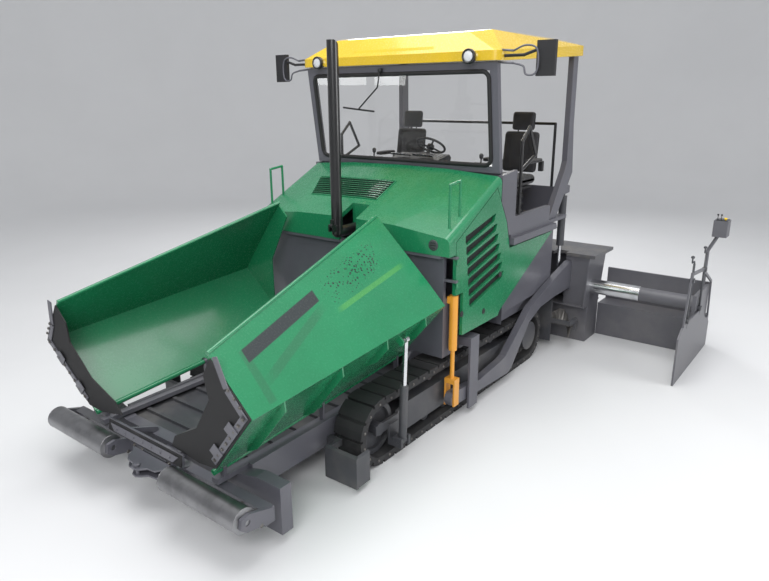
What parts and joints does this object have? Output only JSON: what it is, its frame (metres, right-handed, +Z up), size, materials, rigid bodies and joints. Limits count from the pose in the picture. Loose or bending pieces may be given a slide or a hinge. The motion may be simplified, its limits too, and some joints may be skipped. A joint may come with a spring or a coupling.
{
  "type": "asphalt paver",
  "caption": "Tracked asphalt paver with a folding hopper, roofed drive station, conveyor, augers and an extending screed on tow arms.",
  "frame": {"origin": "on the ground under the middle of the machine", "axes": "+X forward towards the hopper, +Y to the left of the machine, +Z up"},
  "size_m": [6.594, 5.86, 3.83],
  "materials": {
    "green_paint": "gloss",
    "steel_grey_paint": "satin",
    "dark_grey_paint": "satin",
    "yellow_paint": "gloss",
    "black_paint": "satin",
    "rubber": "matte",
    "chrome": "polished",
    "roller_steel": "satin",
    "glass": "clear",
    "black_plastic": "satin",
    "seat_fabric": "matte",
    "wear_steel": "matte",
    "lamp": "clear",
    "orange_paint": "gloss"
  },
  "bodies": {
    "root": {"chassis_frame": "steel_grey_paint", "track_frames": "dark_grey_paint", "track_left": "rubber", "track_right": "rubber", "track_deflectors": "dark_grey_paint", "slat_conveyor": "wear_steel", "hopper_bulkhead": "steel_grey_paint", "engine_hood": "green_paint", "engine_block": "wear_steel", "rear_housing": "steel_grey_paint", "rear_panels": "green_paint", "operator_platform": "steel_grey_paint", "control_console": "black_plastic", "operator_seats": "seat_fabric", "platform_rails": "black_paint", "windscreen_frame": "steel_grey_paint", "windscreen_glass": "glass", "roof_pillars": "steel_grey_paint", "canopy_roof": "yellow_paint", "work_lamps": "lamp", "mirrors": "black_plastic", "tow_cylinders": "orange_paint", "auger_carrier": "dark_grey_paint", "exhaust_base": "black_paint", "hopper_apron": "steel_grey_paint"},
    "wing_left": {"hopper_wing_left": "green_paint", "wing_flap_left": "rubber"},
    "wing_barrel_left": {"wing_barrel_left": "steel_grey_paint"},
    "wing_rod_left": {"wing_rod_left": "chrome"},
    "wing_right": {"hopper_wing_right": "green_paint", "wing_flap_right": "rubber"},
    "wing_barrel_right": {"wing_barrel_right": "steel_grey_paint"},
    "wing_rod_right": {"wing_rod_right": "chrome"},
    "push_beam": {"push_beam": "steel_grey_paint"},
    "push_roller_left": {"push_roller_left": "roller_steel"},
    "push_roller_right": {"push_roller_right": "roller_steel"},
    "engine_door_left": {"engine_door_left": "green_paint"},
    "engine_door_right": {"engine_door_right": "green_paint"},
    "exhaust_stack": {"exhaust_stack": "black_paint"},
    "auger_left": {"auger_left": "wear_steel"},
    "auger_right": {"auger_right": "wear_steel"},
    "screed": {"screed_body": "dark_grey_paint", "screed_walkway": "dark_grey_paint", "tow_arms": "steel_grey_paint"},
    "lift_barrel_left": {"lift_barrel_left": "dark_grey_paint"},
    "lift_rod_left": {"lift_rod_left": "chrome"},
    "lift_barrel_right": {"lift_barrel_right": "dark_grey_paint"},
    "lift_rod_right": {"lift_rod_right": "chrome"},
    "extension_left": {"screed_extension_left": "dark_grey_paint"},
    "tube_stage_left": {"tube_stage_left": "chrome"},
    "end_gate_left": {"end_gate_left": "dark_grey_paint"},
    "extension_right": {"screed_extension_right": "dark_grey_paint"},
    "tube_stage_right": {"tube_stage_right": "chrome"},
    "end_gate_right": {"end_gate_right": "dark_grey_paint"}
  },
  "joints": [
    {"name": "wing_left_fold", "type": "hinge", "parent": "root", "child": "wing_left", "pos_m": [3.08, 0.79, 0.54], "axis": [0.9973, 0, -0.0732], "range_deg": [-37, 4]},
    {"name": "wing_cylinder_left_tilt", "type": "hinge", "parent": "root", "child": "wing_barrel_left", "pos_m": [1.35, 1.2425, 0.17], "axis": [1, 0, 0], "range_deg": [-19.37, 2.54]},
    {"name": "wing_cylinder_left_stroke", "type": "slide", "parent": "wing_barrel_left", "child": "wing_rod_left", "axis": [0, 0.035, 0.9994], "range_m": [-0.3453, 0.04]},
    {"name": "wing_right_fold", "type": "hinge", "parent": "root", "child": "wing_right", "pos_m": [3.08, -0.79, 0.54], "axis": [-0.9973, 0, 0.0732], "range_deg": [-31, 10]},
    {"name": "wing_cylinder_right_tilt", "type": "hinge", "parent": "root", "child": "wing_barrel_right", "pos_m": [1.35, -1.2425, 0.17], "axis": [-1, 0, 0], "range_deg": [-16.62, 5.7]},
    {"name": "wing_cylinder_right_stroke", "type": "slide", "parent": "wing_barrel_right", "child": "wing_rod_right", "axis": [0, -0.0885, 0.9961], "range_m": [-0.2913, 0.096]},
    {"name": "push_beam_swivel", "type": "hinge", "parent": "root", "child": "push_beam", "pos_m": [2.91, 0, 0.31], "axis": [0, 0, 1], "range_deg": [-3, 3]},
    {"name": "push_roller_left_spin", "type": "hinge", "parent": "push_beam", "child": "push_roller_left", "pos_m": [3.2, 0.82, 0.4], "axis": [0, 1, 0], "continuous": true},
    {"name": "push_roller_right_spin", "type": "hinge", "parent": "push_beam", "child": "push_roller_right", "pos_m": [3.2, -0.82, 0.4], "axis": [0, 1, 0], "continuous": true},
    {"name": "engine_door_left_swing", "type": "hinge", "parent": "root", "child": "engine_door_left", "pos_m": [0.553, 1.2935, 1.5], "axis": [0, 0, -1], "range_deg": [0, 85]},
    {"name": "engine_door_right_swing", "type": "hinge", "parent": "root", "child": "engine_door_right", "pos_m": [0.553, -1.2935, 1.5], "axis": [0, 0, 1], "range_deg": [0, 85]},
    {"name": "exhaust_fold", "type": "hinge", "parent": "root", "child": "exhaust_stack", "pos_m": [0.904, 0.055, 1.935], "axis": [0, 1, 0], "range_deg": [0, 85]},
    {"name": "auger_left_spin", "type": "hinge", "parent": "root", "child": "auger_left", "pos_m": [-2.18, 0.775, 0.3], "axis": [0, 1, 0], "continuous": true},
    {"name": "auger_right_spin", "type": "hinge", "parent": "root", "child": "auger_right", "pos_m": [-2.18, -0.775, 0.3], "axis": [0, 1, 0], "continuous": true},
    {"name": "screed_lift", "type": "hinge", "parent": "root", "child": "screed", "pos_m": [0.49, 0, 0.25], "axis": [0, 1, 0], "range_deg": [0, 8]},
    {"name": "lift_cylinder_left_tilt", "type": "hinge", "parent": "root", "child": "lift_barrel_left", "pos_m": [-2.295, 1.1245, 2.03], "axis": [0, 1, 0], "range_deg": [-6.58, 0.5]},
    {"name": "lift_cylinder_left_stroke", "type": "slide", "parent": "lift_barrel_left", "child": "lift_rod_left", "axis": [0, 0, 1], "range_m": [-0.003, 0.383]},
    {"name": "lift_cylinder_right_tilt", "type": "hinge", "parent": "root", "child": "lift_barrel_right", "pos_m": [-2.295, -1.1245, 2.03], "axis": [0, 1, 0], "range_deg": [-6.58, 0.5]},
    {"name": "lift_cylinder_right_stroke", "type": "slide", "parent": "lift_barrel_right", "child": "lift_rod_right", "axis": [0, 0, 1], "range_m": [-0.003, 0.383]},
    {"name": "extension_left_slide", "type": "slide", "parent": "screed", "child": "extension_left", "axis": [0, -1, 0], "range_m": [0, 1.18]},
    {"name": "tube_stage_left_slide", "type": "slide", "parent": "screed", "child": "tube_stage_left", "axis": [0, -1, 0], "range_m": [-0.002, 0.592]},
    {"name": "end_gate_left_lift", "type": "slide", "parent": "extension_left", "child": "end_gate_left", "axis": [0, 0, 1], "range_m": [0, 0.08]},
    {"name": "extension_right_slide", "type": "slide", "parent": "screed", "child": "extension_right", "axis": [0, 1, 0], "range_m": [0, 1.18]},
    {"name": "tube_stage_right_slide", "type": "slide", "parent": "screed", "child": "tube_stage_right", "axis": [0, 1, 0], "range_m": [-0.002, 0.592]},
    {"name": "end_gate_right_lift", "type": "slide", "parent": "extension_right", "child": "end_gate_right", "axis": [0, 0, 1], "range_m": [0, 0.08]}
  ],
  "couplings": [
    {"joint": "wing_cylinder_left_tilt", "follows": "wing_left_fold", "ratio": 0.51},
    {"joint": "wing_cylinder_left_stroke", "follows": "wing_left_fold", "m_per_rad": 0.52999},
    {"joint": "wing_cylinder_right_tilt", "follows": "wing_right_fold", "ratio": 0.52},
    {"joint": "wing_cylinder_right_stroke", "follows": "wing_right_fold", "m_per_rad": 0.53285},
    {"joint": "lift_cylinder_left_tilt", "follows": "screed_lift", "ratio": -0.76},
    {"joint": "lift_cylinder_left_stroke", "follows": "screed_lift", "m_per_rad": 2.7216},
    {"joint": "lift_cylinder_right_tilt", "follows": "screed_lift", "ratio": -0.76},
    {"joint": "lift_cylinder_right_stroke", "follows": "screed_lift", "m_per_rad": 2.7216},
    {"joint": "tube_stage_left_slide", "follows": "extension_left_slide", "ratio": 0.5},
    {"joint": "tube_stage_right_slide", "follows": "extension_right_slide", "ratio": 0.5}
  ]
}
